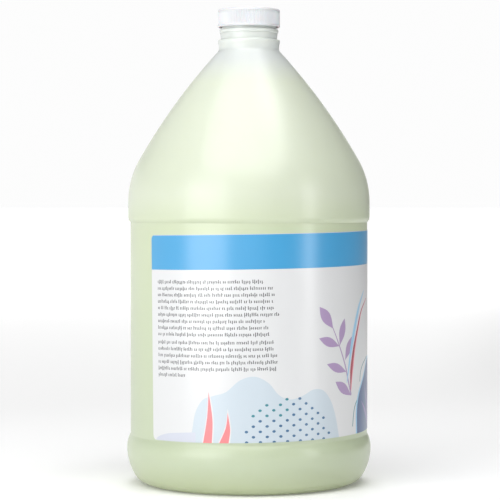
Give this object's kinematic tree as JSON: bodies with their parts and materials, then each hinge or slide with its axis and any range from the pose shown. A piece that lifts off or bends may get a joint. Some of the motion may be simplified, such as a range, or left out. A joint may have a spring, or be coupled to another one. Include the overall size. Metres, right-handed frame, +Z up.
{
  "type": "shampoo bottle",
  "caption": "Round gallon jug of grooming shampoo in milky polyethylene with a moulded-in handle, a white ribbed screw cap and a wrap-around label.",
  "frame": {"origin": "centre of the base, on the surface the bottle stands on", "axes": "+Z up along the neck's axis, +Y towards the handle, the pictured side faces -Y, +X to the right of that view"},
  "size_m": [0.156, 0.156, 0.3021],
  "materials": {
    "natural_hdpe": "milky translucent natural polyethylene, soft satin",
    "white_pp": "white polypropylene, satin",
    "liner_foam": "white foamed polyethylene, matt",
    "seal_foil": "bright rolled foil",
    "label_film": "white printed film, semi-gloss",
    "shampoo_liquid": "pale green pearlescent liquid"
  },
  "bodies": {
    "bottle": {"bottle": "natural_hdpe", "foil_seal": "seal_foil", "label": "label_film", "shampoo": "shampoo_liquid"},
    "liner": {"cap_liner": "liner_foam"},
    "cap": {"cap": "white_pp"}
  },
  "joints": [
    {"name": "cap_lift", "type": "slide", "parent": "bottle", "child": "liner", "axis": [0, 0, 1], "range_m": [0, 0.0064]},
    {"name": "cap_turn", "type": "hinge", "parent": "liner", "child": "cap", "pos_m": [0, 0, 0.3], "axis": [0, 0, 1], "range_deg": [0, 540]}
  ],
  "couplings": [
    {"joint": "cap_lift", "follows": "cap_turn", "m_per_rad": 0.0006737}
  ]
}
